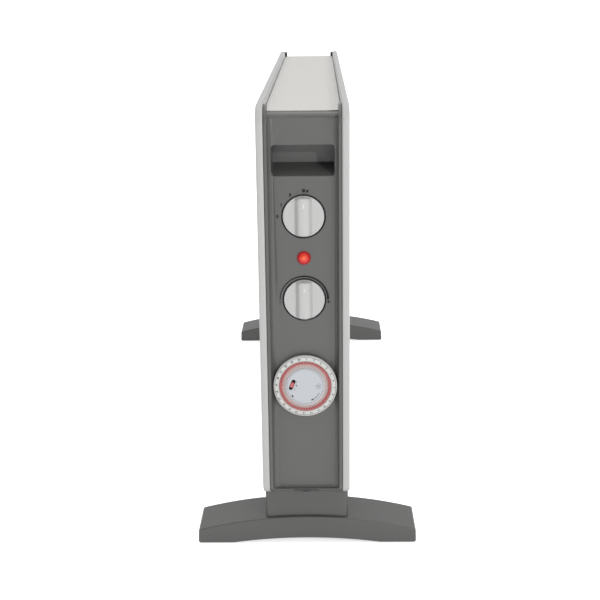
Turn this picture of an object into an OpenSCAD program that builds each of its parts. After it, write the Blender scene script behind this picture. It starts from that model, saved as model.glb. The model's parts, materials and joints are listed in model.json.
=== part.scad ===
// Slim oil-filled panel radiator with a control end, a timer and two arched feet.
// Millimetres, +Z up, floor at Z = 0. The control end faces -Y, the panels face -X and +X.

/* [Body] */
// Length of the two pressed side panels
body_len = 820; // [780:5:840]
// Thickness over both side panels
body_thick = 94; // [94:1:100]
// Height of the panel tops above the floor
total_h = 488; // [486:1:510]
// Height of the panel bottoms above the floor
body_bottom = 66; // [65:1:68]
// Width of the folded rim round each side panel
rim_w = 7.5; // [7:0.5:8]
// Radius of the four corners of a side panel
corner_r = 20; // [16:1:24]
// Thickness of the panel sheet
sheet = 0.8; // [0.7:0.1:1.2]
// Drop from the panel tops to the top cover
cover_drop = 8; // [6:1:10]

/* [Panel channels] */
// Number of pressed channels in each side panel
channel_count = 22; // [10:1:23]
// Distance between pressed channels
channel_pitch = 33; // [28:1:33]
// Radius of the pressing tool
channel_r = 12; // [10:1:14]
// Depth of a pressed channel
channel_depth = 3; // [2:0.5:3.5]
// Flat border above and below the channels
channel_border = 40; // [30:1:60]

/* [Control end] */
// Depth of the recessed face behind the panel ends
face_y = 10; // [8:1:11]
// Height of the power selector axis
selector_z = 374.5; // [372:0.5:377]
// Height of the pilot lamp
lamp_z = 331; // [328:1:333]
// Height of the thermostat axis
thermostat_z = 286.5; // [285:0.5:289]
// Height of the timer axis
timer_z = 193; // [188:0.5:200]
// Diameter of the two knobs
knob_d = 42.4; // [38:0.2:42.8]
// Diameter of the timer dial
dial_d = 67.2; // [66:0.2:68]

/* [Handle recess] */
// Width of the finger recess in each end cap
grip_w = 63.4; // [50:0.2:64]
// Lower edge of the finger recess
grip_z0 = 416; // [412:1:420]
// Upper edge of the finger recess
grip_z1 = 447.4; // [440:0.2:452]

/* [Feet] */
// Width of each foot
foot_w = 243; // [220:1:260]
// Depth of each foot along the body
foot_depth = 56; // [50:1:60]
// Distance from a panel end to the face of the foot below it
foot_inset = 20; // [19:1:26]
// Height of the foot at its middle
foot_crown = 33; // [28:1:36]
// Height of the foot at its ends
foot_tip = 17.5; // [15:0.5:20]
// Rise of the arch under the foot
arch_rise = 6.5; // [6:0.5:8]

/* [Hidden] */
$fn = 64;

near_y = -body_len / 2;
far_y = body_len / 2;
mid_z = (body_bottom + total_h) / 2;
panel_h = total_h - body_bottom;
outer_x = body_thick / 2;
inner_x = outer_x - rim_w;
eps = 0.01;

cover_top = total_h - cover_drop;
cover_t = 1.2;
cap_top = cover_top - cover_t;
cap_depth = 26;
flange_start = cap_depth + 0.5;
cap_edge = 1;
cap_wall = 2.5;
cheek_w = 3.5;
fillet_r = 7;
cap_x = inner_x - 0.2;
recess_x = cap_x - cheek_w;
brow_r = 5;
cover_y0 = 27;
cover_y1 = 16;
sill_h = 7.8;
notch_h = 6.6;
floor_z = body_bottom + cap_edge;
frame_z = floor_z + cap_wall;
pan_t = 1;
pan_z = frame_z - pan_t;
frame_t = 1.5;
web_y = 88;

header_z = 120;
header_r = 16;
cross_r = 10;
cross_bore = 8.8;
cross_inset = 140;
crossover_z = 440;

well_r = 22.6;
well_y = face_y + 6.5;
seat_y = well_y + 2.5;
spindle_r = 3;
running = 0.06;
skirt_y = face_y - 1.4;
grip_y = 2.6;

timer_y = 7.6;
gear_m = 0.8;
ring_teeth = 60;
pinion_teeth = 12;
pinion_x = gear_m * (ring_teeth - pinion_teeth) / 2;
tappet_count = 96;
slot_tilt = 22;
slot_x = -13.8;
slot_dz = 2;

foot_screw_x = 25;
foot_mid = foot_inset + foot_depth / 2;
pad_x = foot_w / 2 - 24;
cap_screw_x = 28;
cap_screw_y = 20;
bushing_y = 16.3;
bushing_r = 5;

// ---- placing ----

// Puts a piece drawn from the control end, where y = 0 is the panels' end.
module at_near() translate([0, near_y, 0]) children();

// Puts a piece of the timer in its opening; y = 0 is the plane of the timer's drawing.
module at_timer() translate([0, near_y + timer_y, 0]) children();

// Puts the same piece at the far end, facing the other way.
module at_far() translate([0, far_y, 0]) mirror([0, 1, 0]) children();

// Puts a piece drawn along z on a line along +y that starts at the given point.
module along_y(x, y, z) translate([x, y, z]) rotate([-90, 0, 0]) children();

// Right-hand side as drawn, left-hand side mirrored.
module on_side(side) {
    if (side > 0) children();
    else mirror([1, 0, 0]) children();
}

// ---- shared shapes ----

module rounded_rect(w, h, r) {
    square([w - 2 * r, h], center = true);
    square([w, h - 2 * r], center = true);
    for (i = [-1, 1]) for (j = [-1, 1])
        translate([i * (w / 2 - r), j * (h / 2 - r)]) circle(r);
}

// A plate standing in the YZ plane between x0 and x1, with rounded corners.
module yz_plate(y0, y1, z0, z1, x0, x1, r) {
    translate([x0, (y0 + y1) / 2, (z0 + z1) / 2]) rotate([90, 0, 90])
        linear_extrude(x1 - x0) rounded_rect(y1 - y0, z1 - z0, r);
}

// Extrudes a profile drawn in (y, z) to both sides of the middle plane.
module across(half_w) {
    translate([-half_w, 0, 0]) rotate([90, 0, 90]) linear_extrude(2 * half_w) children();
}

module box(x0, x1, y0, y1, z0, z1) {
    translate([x0, y0, z0]) cube([x1 - x0, y1 - y0, z1 - z0]);
}

module tube(r_out, r_in, h) {
    difference() {
        cylinder(r = r_out, h = h);
        translate([0, 0, -1]) cylinder(r = r_in, h = h + 2);
    }
}

// A slot outline with round ends, w wide and l long.
module slot_outline(w, l) {
    square([w, l - w], center = true);
    for (j = [-1, 1]) translate([0, j * (l - w) / 2]) circle(w / 2);
}

module hexagon_bar(flat, h) cylinder(d = flat / cos(30), h = h, $fn = 6);

// ---- side panels ----

// A bar along z with domed ends, turned in one piece.
module domed_bar(r, length) {
    rotate_extrude() intersection() {
        union() {
            translate([-r, 0]) square([2 * r, length]);
            for (z = [0, length]) translate([0, z]) circle(r);
        }
        translate([0, -r]) square([r, length + 2 * r]);
    }
}

// The row of pressed channels, each a domed bar that dips into the panel's face.
module channels(r) {
    axis_x = outer_x + channel_r - channel_depth;
    first = (near_y + far_y) / 2 - channel_pitch * (channel_count - 1) / 2;
    low = body_bottom + channel_border;
    for (i = [0 : channel_count - 1])
        translate([axis_x, first + i * channel_pitch, low])
            domed_bar(r, panel_h - 2 * channel_border);
}

// Pressed outer sheet with its rim, open towards the middle of the heater.
module panel_skin(side) color("gainsboro") on_side(side) {
    difference() {
        yz_plate(near_y, far_y, body_bottom, total_h, inner_x, outer_x, corner_r);
        difference() {
            yz_plate(near_y + sheet, far_y - sheet, body_bottom + sheet, total_h - sheet,
                inner_x - 1, outer_x - sheet, corner_r - sheet);
            channels(channel_r + sheet);
        }
        channels(channel_r);
    }
}

// Flat inner sheet that closes the oil space, with the ports of the cross tubes.
module panel_back(side) color("lightgray") on_side(side) {
    difference() {
        yz_plate(near_y + sheet, far_y - sheet, body_bottom + sheet, total_h - sheet,
            inner_x, inner_x + sheet, corner_r - sheet);
        for (y = [near_y + cross_inset, far_y - cross_inset])
            for (z = [header_z, crossover_z])
                translate([inner_x - 1, y, z]) rotate([0, 90, 0]) cylinder(r = cross_bore, h = 4);
    }
}

// ---- oil circuit and element ----

module cross_tube_at(y, z, r) {
    translate([-inner_x, y, z]) rotate([0, 90, 0]) cylinder(r = r, h = 2 * inner_x);
}

// Pipe along the bottom that holds the element, with a cross tube near each end.
module bottom_header() color("slategray") {
    pipe_len = body_len - 200;
    difference() {
        union() {
            along_y(0, near_y + 100, header_z) cylinder(r = header_r, h = pipe_len);
            for (y = [near_y + cross_inset, far_y - cross_inset])
                cross_tube_at(y, header_z, cross_r);
        }
        along_y(0, near_y + 99, header_z) cylinder(r = header_r - 1.4, h = pipe_len - 3);
        along_y(0, far_y - 110, header_z) cylinder(r = 6, h = 12);
        for (y = [near_y + cross_inset, far_y - cross_inset])
            cross_tube_at(y, header_z, cross_bore);
    }
}

module top_crossovers() color("slategray") {
    for (y = [near_y + cross_inset, far_y - cross_inset])
        translate([-inner_x, y, crossover_z]) rotate([0, 90, 0])
            tube(cross_r, cross_bore, 2 * inner_x);
}

element_leg_x = 6.2;
element_r = 4.2;
element_end = 560;

// U-shaped sheathed element with a cold pin at each end.
module heating_element() color("dimgray") at_near() {
    for (x = [-element_leg_x, element_leg_x]) {
        along_y(x, 84, header_z) cylinder(r = element_r, h = element_end - 84);
        along_y(x, 74, header_z) cylinder(r = 1.6, h = 10);
    }
    translate([0, element_end, header_z]) difference() {
        rotate_extrude() translate([element_leg_x, 0]) circle(element_r, $fn = 32);
        translate([-20, -40, -10]) cube([40, 40, 20]);
    }
}

module element_bores(extra) {
    for (x = [-element_leg_x, element_leg_x])
        along_y(x, 60, header_z) cylinder(r = element_r + extra, h = 80);
}

// Hexagon-headed plug that screws into the header pipe and carries the element.
module element_plug() color("goldenrod") at_near() {
    difference() {
        union() {
            along_y(0, 90, header_z) hexagon_bar(36, 8);
            along_y(0, 98, header_z) cylinder(r = header_r - 1.6, h = 14);
        }
        element_bores(0.06);
    }
}

module element_gasket() color("darkgreen") at_near() {
    along_y(0, 98, header_z) tube(header_r + 1, header_r - 1.4, 2);
}

module fill_plug() color("goldenrod") at_far() {
    along_y(0, 92, header_z) hexagon_bar(17, 6);
    along_y(0, 98, header_z) cylinder(r = 5.9, h = 10);
}

module fill_plug_washer() color("peru") at_far() {
    along_y(0, 98, header_z) tube(8.4, 6.1, 2);
}

// ---- covers and frames ----

// A shallow channel between the panels: a flat web and two edge flanges.
module channel_plate(z0, z1, flange_z0, flange_z1, y0, y1) {
    edge_x = inner_x - 0.6;
    box(-edge_x, edge_x, y0, y1, z0, z1);
    for (side = [-1, 1]) on_side(side)
        box(edge_x - 1, edge_x, near_y + flange_start, far_y - flange_start, flange_z0, flange_z1);
}

module top_cover() color("whitesmoke") {
    channel_plate(cap_top, cover_top, cap_top - 12, cover_top,
        near_y + cover_y0, far_y - flange_start);
    box(-recess_x + 0.3, recess_x - 0.3, far_y - flange_start - eps, far_y - cover_y1,
        cap_top, cover_top);
}

module foot_screw_holes(r) {
    for (x = [-foot_screw_x, foot_screw_x])
        translate([x, foot_mid, 0]) cylinder(r = r, h = frame_z + 10);
}

// Bottom closing plate with rows of air slots.
module bottom_pan() color("silver") {
    slot_pitch = 26;
    slot_first = near_y + 120;
    slot_count = floor((body_len - 240) / slot_pitch);
    difference() {
        channel_plate(pan_z, pan_z + pan_t, pan_z, pan_z + 10,
            near_y + flange_start, far_y - flange_start);
        at_near() foot_screw_holes(2.75);
        at_far() foot_screw_holes(2.75);
        for (i = [0 : slot_count - 1])
            box(-25, 25, slot_first + i * slot_pitch, slot_first + i * slot_pitch + 7,
                pan_z - 1, pan_z + 3);
    }
}

// Folded steel frame across the end, which carries the cap and the foot.
module end_frame() {
    half = inner_x - 2.2;
    tab_half = recess_x - 0.5;
    difference() {
        union() {
            box(-half, half, web_y, web_y + frame_t, frame_z, cap_top);
            for (side = [-1, 1]) on_side(side)
                box(half - frame_t, half, web_y - 26, web_y, frame_z, cap_top);
            box(-half, half, cap_depth + 1, web_y, frame_z, frame_z + frame_t);
            box(-tab_half, tab_half, 15, cap_depth + 2, frame_z, frame_z + frame_t);
        }
        foot_screw_holes(2.75);
        for (x = [-cap_screw_x, cap_screw_x])
            translate([x, cap_screw_y, frame_z - 1]) cylinder(r = 1.7, h = 5);
        along_y(0, web_y - 1, header_z) cylinder(r = 22, h = 4);
        along_y(0, web_y - 1, 180) cylinder(r = 8.6, h = 4);
        along_y(0, web_y - 1, 235) cylinder(r = 7, h = 4);
        translate([0, bushing_y, frame_z - 1]) cylinder(r = 10, h = 5);
    }
}

module near_end_frame() color("darkgray") at_near() end_frame();

module far_end_frame() color("darkgray") at_far() end_frame();

// Bright sheet that keeps the panels' heat off the controls.
module heat_shield() color("silver") at_near() {
    difference() {
        box(-33, 33, web_y - 6, web_y - 5.4, 262, cap_top - 10);
        along_y(0, web_y - 8, 290) cylinder(r = 6, h = 4);
    }
    for (x = [-26, 20])
        for (z = [270, 440])
            box(x, x + 6, web_y - 5.4, web_y, z, z + 6);
}

// ---- end caps ----

// Outline of the end in (y, z), a little inside the rounded panel ends.
module cap_outline() {
    translate([60, mid_z]) rounded_rect(2 * (60 - cap_edge), panel_h - 2 * cap_edge, corner_r - cap_edge);
}

// Recessed middle of the cap in (y, z): floor, face and a rounded brow at the top.
module brow_profile(inset) {
    y0 = face_y + inset;
    z1 = cap_top - inset;
    r = brow_r - inset;
    z0 = floor_z + inset;
    translate([y0, z0]) square([60, z1 - r - z0]);
    translate([y0 + r, z0]) square([60, z1 - z0]);
    translate([y0 + r, z1 - r]) circle(r);
}

// Space behind the finger opening, with a sloping floor and rounded corners.
module grip_pocket(grow, y_start) {
    depth_y = 40;
    rise = 9.3;
    intersection() {
        across(grip_w / 2 + grow) polygon([
            [y_start, grip_z0 - grow - 0.2],
            [face_y, grip_z0 - grow],
            [depth_y + grow, grip_z0 + rise - grow],
            [depth_y + grow, grip_z1 + grow],
            [y_start, grip_z1 + grow]]);
        along_y(0, y_start, (grip_z0 + grip_z1) / 2) linear_extrude(60)
            rounded_rect(grip_w + 2 * grow, grip_z1 - grip_z0 + 2 * grow + 0.8, 4 + grow);
    }
}

// Concave corner between a cheek and the recessed face.
module cheek_fillet() {
    x0 = recess_x - fillet_r;
    y0 = face_y - fillet_r;
    low = body_bottom + sill_h - eps;
    translate([0, 0, low]) linear_extrude(cap_top - brow_r - low) difference() {
        translate([x0, y0]) square(fillet_r + eps);
        translate([x0, y0]) circle(fillet_r);
    }
}

// Cheeks, sill, recessed face, brow and finger pocket, shared by both ends.
module cap_body() {
    intersection() {
        difference() {
            union() {
                for (side = [-1, 1]) on_side(side)
                    box(recess_x, cap_x, 0, cap_depth, body_bottom, total_h);
                difference() {
                    across(recess_x + eps) brow_profile(0);
                    across(recess_x) brow_profile(cap_wall);
                }
                box(-recess_x, recess_x, 0, face_y + eps, body_bottom, body_bottom + sill_h);
                for (side = [-1, 1]) on_side(side) cheek_fillet();
            }
            box(-13.5, 13.5, -1, face_y, body_bottom - 1, body_bottom + notch_h);
            box(-60, 60, cap_depth + 8, 90, 0, total_h);
            box(-60, 60, cap_depth, 90, 0, cap_top - 8);
            box(-recess_x - 1, -recess_x + 2, cap_depth, 90, 0, total_h);
            box(recess_x - 2, recess_x + 1, cap_depth, 90, 0, total_h);
        }
        across(50) cap_outline();
    }
    intersection() {
        grip_pocket(2, face_y + 0.5);
        box(-recess_x, recess_x, face_y + 0.5, 60, body_bottom, cap_top);
    }
}

module cap_cuts() {
    grip_pocket(0, face_y - fillet_r - 1);
    for (x = [-cap_screw_x, cap_screw_x])
        translate([x, cap_screw_y, body_bottom - 1]) {
            cylinder(r = 1.7, h = 6);
            cylinder(r = 3.3, h = 2.3);
            translate([0, 0, 2.3]) cylinder(r1 = 3.3, r2 = 1.7, h = 1.6);
        }
}

module knob_well(z) along_y(0, face_y + eps, z) cylinder(r = well_r + 2, h = seat_y - face_y - eps);

module knob_well_cut(z) {
    along_y(0, face_y - 2, z) cylinder(r = well_r, h = well_y - face_y + 2);
    along_y(0, face_y - 2, z) cylinder(r = 4, h = 20);
    for (dz = [-13, 13]) along_y(0, face_y, z + dz) cylinder(r = 1.6, h = 20);
}

module control_end_cap() color("dimgray") at_near() {
    difference() {
        union() {
            cap_body();
            knob_well(selector_z);
            knob_well(thermostat_z);
        }
        cap_cuts();
        knob_well_cut(selector_z);
        knob_well_cut(thermostat_z);
        along_y(0, face_y - 2, lamp_z) cylinder(r = 5.2, h = 10);
        along_y(0, face_y - 2, timer_z) cylinder(r = 30.2, h = 10);
        along_y(0, 0, timer_z) cylinder(r = dial_d / 2 + 0.8, h = face_y);
        translate([0, bushing_y, body_bottom]) cylinder(r = bushing_r + 0.2, h = 14);
    }
}

module far_end_cap() color("dimgray") at_far() {
    difference() {
        cap_body();
        cap_cuts();
    }
}

// Rubber tube with a flange on the cap's floor, and the strip that closes the notch.
module cord_bushing() color("black") at_near() {
    bore_r = 3.9;
    difference() {
        union() {
            translate([0, bushing_y, floor_z + 0.4]) cylinder(r = bushing_r, h = 11);
            intersection() {
                translate([0, bushing_y, frame_z]) cylinder(r = 8.4, h = 2);
                box(-9, 9, face_y + cap_wall + 0.1, 30, frame_z, frame_z + 2);
            }
        }
        translate([0, bushing_y, floor_z - 1]) cylinder(r = bore_r, h = 14);
    }
    intersection() {
        box(-13.4, 13.4, face_y - 1.2, face_y - eps, body_bottom, body_bottom + notch_h - 0.1);
        across(20) cap_outline();
    }
}

// ---- knobs and what they turn ----

// Six-millimetre spindle with a flat where the knob's spring bears.
module spindle(z) {
    difference() {
        along_y(0, 5, z) cylinder(r = spindle_r, h = 25);
        box(-4, 4, 4, 15, z + 1.6, z + 4);
    }
}

// Round skirt with a bevelled bar across it and a hollow back with a hub.
module knob(z) {
    bar = [[-9.2, skirt_y], [-7.4, grip_y + 3], [-6, grip_y + 1.4], [-4, grip_y + 0.5],
        [-1.5, grip_y], [1.5, grip_y], [4, grip_y + 0.5], [6, grip_y + 1.4],
        [7.4, grip_y + 3], [9.2, skirt_y]];
    r = knob_d / 2;
    difference() {
        union() {
            along_y(0, skirt_y, z) cylinder(r = r, h = 6.6);
            along_y(0, skirt_y - 0.8, z) cylinder(r1 = r - 0.8, r2 = r, h = 0.8);
            intersection() {
                translate([0, 0, z - 30]) linear_extrude(60) polygon(bar);
                along_y(0, grip_y, z) cylinder(r1 = r - 2.4, r2 = r - 0.4, h = skirt_y - grip_y);
            }
        }
        difference() {
            along_y(0, skirt_y + 1.8, z) cylinder(r = r - 1.8, h = 8);
            along_y(0, skirt_y + 1.7, z) cylinder(r = 5.4, h = 8);
        }
        along_y(0, 4.8, z) cylinder(r = spindle_r + 0.05, h = 20);
    }
}

// Flat steel spring between the spindle's flat and the knob's bore.
module knob_spring(z) box(-1.9, 1.9, 6, 14, z + 1.65, z + 2.3);

module selector_spindle() color("silver") at_near() spindle(selector_z);

module selector_knob() color("gainsboro") at_near() knob(selector_z);

module selector_knob_spring() color("lightsteelblue") at_near() knob_spring(selector_z);

module thermostat_spindle() color("silver") at_near() spindle(thermostat_z);

module thermostat_knob() color("gainsboro") at_near() knob(thermostat_z);

module thermostat_knob_spring() color("lightsteelblue") at_near() knob_spring(thermostat_z);

module spindle_bore(z) along_y(0, seat_y - 1, z) cylinder(r = spindle_r + running, h = 13);

module screw_bores(z) for (dz = [-13, 13]) along_y(0, seat_y - 1, z + dz) cylinder(r = 1.6, h = 10);

// Rotary switch block with a row of blade terminals.
module selector_switch() color("ivory") at_near() {
    difference() {
        union() {
            box(-16, 16, seat_y, seat_y + 17, selector_z - 17, selector_z + 17);
            for (x = [-11, -4, 4, 11])
                box(x - 0.4, x + 0.4, seat_y + 17, seat_y + 25, selector_z - 3.1, selector_z + 3.1);
        }
        spindle_bore(selector_z);
        screw_bores(selector_z);
    }
}

// Thermostat base block with its two stand-off posts.
module thermostat_body() color("wheat") at_near() {
    difference() {
        union() {
            box(-15, 15, seat_y, seat_y + 13, thermostat_z - 17, thermostat_z + 17);
            for (dz = [-12, 12])
                along_y(0, seat_y + 13, thermostat_z + dz) cylinder(r = 3.4, h = 7);
        }
        spindle_bore(thermostat_z);
        screw_bores(thermostat_z);
    }
}

// Bimetal strip and contact blade laid across the posts.
module thermostat_bimetal() color("darkgoldenrod") at_near() {
    blade_y = seat_y + 20;
    box(-4, 4, blade_y, blade_y + 0.8, thermostat_z - 16, thermostat_z + 16);
    along_y(0, blade_y + 0.8, thermostat_z + 12) cylinder(r = 2.4, h = 1.6);
    box(-3, 3, blade_y + 2.4, blade_y + 3, thermostat_z - 14, thermostat_z + 16);
}

module pan_screw(x, y, z, r, h) {
    along_y(x, y - 1.2, z) cylinder(r = 2 * r, h = 1.2);
    along_y(x, y, z) cylinder(r = r, h = h);
}

module switch_screws() color("silver") at_near() {
    for (z = [selector_z, thermostat_z])
        for (dz = [-13, 13]) pan_screw(0, well_y, z + dz, 1.5, 10);
}

// ---- pilot lamp ----

// Domed lens with a hollow stem.
module lamp_lens() color("red") at_near() {
    dome_r = 7.1;
    difference() {
        union() {
            intersection() {
                translate([0, face_y + 2.4, lamp_z]) sphere(dome_r + 0.4);
                along_y(0, face_y - 8, lamp_z) cylinder(r = dome_r, h = 8);
            }
            along_y(0, face_y - eps, lamp_z) cylinder(r = 5, h = 12);
        }
        along_y(0, face_y - 1, lamp_z) cylinder(r = 3.6, h = 20);
    }
}

module neon_lamp() color("orange") at_near() {
    along_y(0, face_y + 2, lamp_z) cylinder(r = 2.8, h = 14);
    translate([0, face_y + 2, lamp_z]) sphere(2.8);
}

// ---- timer ----

// Dark collar and can that pass through the face.
module timer_housing() color("darkslategray") at_timer() {
    difference() {
        union() {
            along_y(0, 1.8, timer_z) cylinder(r = 30, h = 40);
            along_y(0, 1.5, timer_z) cylinder(r = 31.4, h = face_y - timer_y - 1.5);
        }
        along_y(0, 0, timer_z) cylinder(r = 28.5, h = 40.3);
    }
}

// Movement plate on three posts, with the bearing of the drive pinion.
module timer_plate() color("khaki") at_timer() {
    difference() {
        union() {
            along_y(0, 12, timer_z) cylinder(r = 28.2, h = 2);
            for (a = [90, 210, 330])
                along_y(23 * cos(a), 14, timer_z + 23 * sin(a)) cylinder(r = 2.6, h = 26.3);
        }
        along_y(pinion_x, 10, timer_z) cylinder(r = 1.5 + running, h = 6);
    }
}

module timer_motor() color("silver") at_timer() {
    along_y(0, 24, timer_z) cylinder(r = 17, h = 16.3);
    along_y(0, 20, timer_z) cylinder(r = 9, h = 4);
}

// A tooth as a tapered block from r0 to r1, half-widths w0 and w1.
module tooth(r0, r1, w0, w1) polygon([[r0, -w0], [r1, -w1], [r1, w1], [r0, w0]]);

module timer_pinion() color("ivory") at_timer() {
    along_y(pinion_x, 3, timer_z) linear_extrude(5.6) {
        circle(3.9);
        for (i = [0 : pinion_teeth - 1])
            rotate(i * 360 / pinion_teeth) tooth(3.5, 5.4, 0.75, 0.28);
    }
    along_y(pinion_x, 2.4, timer_z) cylinder(r = 1.5, h = 15);
}

// Numbered ring with the internal gear behind it.
module timer_dial() color("white") at_timer() {
    r = dial_d / 2;
    along_y(0, 0, timer_z) rotate_extrude() polygon([[19.7, -3.6], [27.6, -3.6], [28, -4.4],
        [r - 0.7, -4.4], [r, -3.7], [r, -0.2], [r - 0.6, 0.4], [30, 1.2], [19.7, 1.2]]);
    along_y(0, 1.2 - eps, timer_z) linear_extrude(7.6) {
        difference() {
            circle(27.6);
            circle(25);
        }
        for (i = [0 : ring_teeth - 1])
            rotate((i + 0.5) * 360 / ring_teeth) tooth(25.2, 23.35, 0.8, 0.28);
    }
}

// One wedge-shaped segment for each quarter of an hour.
module timer_tappets() color("indianred") at_timer() {
    for (i = [0 : tappet_count - 1])
        translate([0, -4.9, timer_z]) rotate([0, (i + 0.5) * 360 / tappet_count, 0])
            rotate([-90, 0, 0]) linear_extrude(1.3) tooth(21.1, 27.3, 0.25, 0.78);
}

// Fixed centre of the timer, whose slot holds the override slider.
module timer_face() color("aliceblue") at_timer() {
    difference() {
        union() {
            along_y(0, -5.2, timer_z) cylinder(r = 20.2, h = 1.2);
            along_y(0, -4.1, timer_z) cylinder(r = 19.4, h = 5.1);
            along_y(0, 1, timer_z) cylinder(r = 4, h = 11);
        }
        translate([slot_x, -2.6, timer_z + slot_dz]) rotate([90, slot_tilt, 0])
            linear_extrude(6) slot_outline(4.2, 12.4);
    }
}

// Small button that slides along the slot.
module timer_slider() color("firebrick") at_timer() {
    translate([slot_x, -2.7, timer_z + slot_dz]) rotate([90, slot_tilt, 0])
        linear_extrude(3.3) rounded_rect(3.4, 5.6, 1.4);
}

// ---- other inner pieces ----

module thermal_cutout() color("black") at_near() {
    along_y(0, web_y - 6, 180) cylinder(r = 8, h = 12);
    along_y(0, web_y - 1.2, 180) cylinder(r = 12, h = 1.2);
    for (x = [-5, 5]) box(x - 3, x + 3, web_y - 13, web_y - 6, 179.6, 180.4);
}

module terminal_block() color("ivory") at_near() {
    difference() {
        box(-21, 21, 62, 76, frame_z + frame_t, frame_z + frame_t + 15);
        for (x = [-14, 0, 14])
            along_y(x, 60, frame_z + frame_t + 6) cylinder(r = 2.2, h = 20);
    }
}

// A wire through the listed points, with a slightly fatter ball at each bend.
module wire(points, r = 1.3) {
    for (i = [0 : len(points) - 2]) {
        step = points[i + 1] - points[i];
        reach = norm(step);
        translate(points[i]) rotate([0, acos(step[2] / reach), atan2(step[1], step[0])])
            cylinder(r = r, h = reach, $fn = 24);
    }
    for (i = [1 : len(points) - 2]) translate(points[i]) sphere(1.15 * r, $fn = 24);
}

// Leads between the terminal block, the controls, the cut-out and the element.
module wiring_harness() color("saddlebrown") at_near() {
    block_top = frame_z + frame_t + 15.3;
    switch_back = seat_y + 25.3;
    wire([[-11, switch_back, selector_z], [-11, 56, selector_z], [-30, 56, 350],
        [-31, 56, 130], [-14, 66, 108], [-14, 68, block_top]]);
    wire([[11, switch_back, selector_z], [11, 58, selector_z], [30, 56, 350],
        [31, 56, 130], [14, 66, 108], [14, 68, block_top]]);
    wire([[4, switch_back, selector_z], [4, 60, selector_z], [24, 62, 250],
        [9.5, 64, 200], [5, 72, 180]]);
    wire([[-4, switch_back, selector_z], [-4, 62, selector_z], [-22, 60, 250],
        [-22, 60, 150], [-6.2, 66, header_z], [-6.2, 73.7, header_z]]);
}

// ---- feet and fasteners ----

// Front outline of a foot in (x, z): arched top, arched underside, slightly leaning ends.
module foot_outline() {
    half = foot_w / 2;
    lean = 0.6;
    sole = 1;
    flat = 40;
    top_r = (pow(half - lean, 2) + pow(foot_crown - foot_tip, 2)) / (2 * (foot_crown - foot_tip));
    arch_half = half - flat;
    arch_r = (pow(arch_half, 2) + pow(arch_rise, 2)) / (2 * arch_rise);
    difference() {
        intersection() {
            polygon([[-half, sole], [half, sole], [half - lean, foot_crown + 5],
                [-half + lean, foot_crown + 5]]);
            translate([0, foot_crown - top_r]) circle(top_r, $fn = 256);
        }
        translate([0, sole + arch_rise - arch_r]) circle(arch_r, $fn = 256);
    }
}

// Foot bar, neck up to the body, and the bores of its two screws.
module foot() {
    neck_x = outer_x - 1.4;
    difference() {
        union() {
            translate([0, foot_inset + foot_depth, 0]) rotate([90, 0, 0])
                linear_extrude(foot_depth) foot_outline();
            box(-neck_x, neck_x, foot_inset + 3.5, foot_inset + foot_depth - 3.5, 20, body_bottom);
            box(-neck_x + 9, neck_x - 9, foot_inset + 7, foot_inset + foot_depth - 3.5, 20, pan_z);
        }
        for (side = [-1, 1]) translate([side * foot_screw_x, foot_mid, 0]) {
            cylinder(r = 6, h = 58);
            cylinder(r = 2.75, h = 90);
        }
        for (side = [-1, 1]) pad_blank(side, foot_mid, 0.01);
    }
}

module pad_blank(side, y, gap) {
    translate([side * pad_x, y, 0]) cylinder(r = 13 + gap, h = 3);
}

module near_foot() color("dimgray") at_near() foot();

module far_foot() color("dimgray") at_far() foot();

module foot_pads() color("black") {
    at_near() for (side = [-1, 1]) pad_blank(side, foot_mid, 0);
    at_far() for (side = [-1, 1]) pad_blank(side, foot_mid, 0);
}

module foot_screw_pair() {
    for (x = [-foot_screw_x, foot_screw_x]) translate([x, foot_mid, 0]) {
        translate([0, 0, 54.5]) cylinder(r = 5, h = 3.5);
        translate([0, 0, 58]) cylinder(r = 2.5, h = frame_z + 7 - 58);
    }
}

module foot_screws() color("silver") {
    at_near() foot_screw_pair();
    at_far() foot_screw_pair();
}

module foot_nut_pair() {
    for (x = [-foot_screw_x, foot_screw_x])
        translate([x, foot_mid, frame_z + frame_t]) difference() {
            hexagon_bar(8, 4);
            translate([0, 0, -1]) cylinder(r = 2.55, h = 6);
        }
}

module foot_nuts() color("silver") {
    at_near() foot_nut_pair();
    at_far() foot_nut_pair();
}

module cap_screw_pair() {
    for (x = [-cap_screw_x, cap_screw_x]) translate([x, cap_screw_y, 0]) {
        translate([0, 0, floor_z + 0.3]) cylinder(r1 = 3.2, r2 = 1.6, h = 1.6);
        translate([0, 0, floor_z + 1.9]) cylinder(r = 1.6, h = 6);
    }
}

module cap_screws() color("silver") {
    at_near() cap_screw_pair();
    at_far() cap_screw_pair();
}

panel_skin(-1);  // left_panel_skin
panel_skin(1);  // right_panel_skin
panel_back(-1);  // left_panel_back
panel_back(1);  // right_panel_back
bottom_header();
top_crossovers();
heating_element();
element_plug();
element_gasket();
fill_plug();
fill_plug_washer();
top_cover();
bottom_pan();
near_end_frame();
far_end_frame();
control_end_cap();
far_end_cap();
heat_shield();
selector_switch();
selector_spindle();
selector_knob();
selector_knob_spring();
switch_screws();
thermostat_body();
thermostat_bimetal();
thermostat_spindle();
thermostat_knob();
thermostat_knob_spring();
lamp_lens();
neon_lamp();
timer_housing();
timer_plate();
timer_motor();
timer_pinion();
timer_dial();
timer_tappets();
timer_face();
timer_slider();
thermal_cutout();
terminal_block();
wiring_harness();
cord_bushing();
near_foot();
far_foot();
foot_pads();
foot_screws();
foot_nuts();
cap_screws();
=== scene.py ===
"""A slim oil-filled panel radiator on arched feet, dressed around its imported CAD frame."""

import json
import math

import bmesh
import bpy
from mathutils import Matrix, Vector


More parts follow.
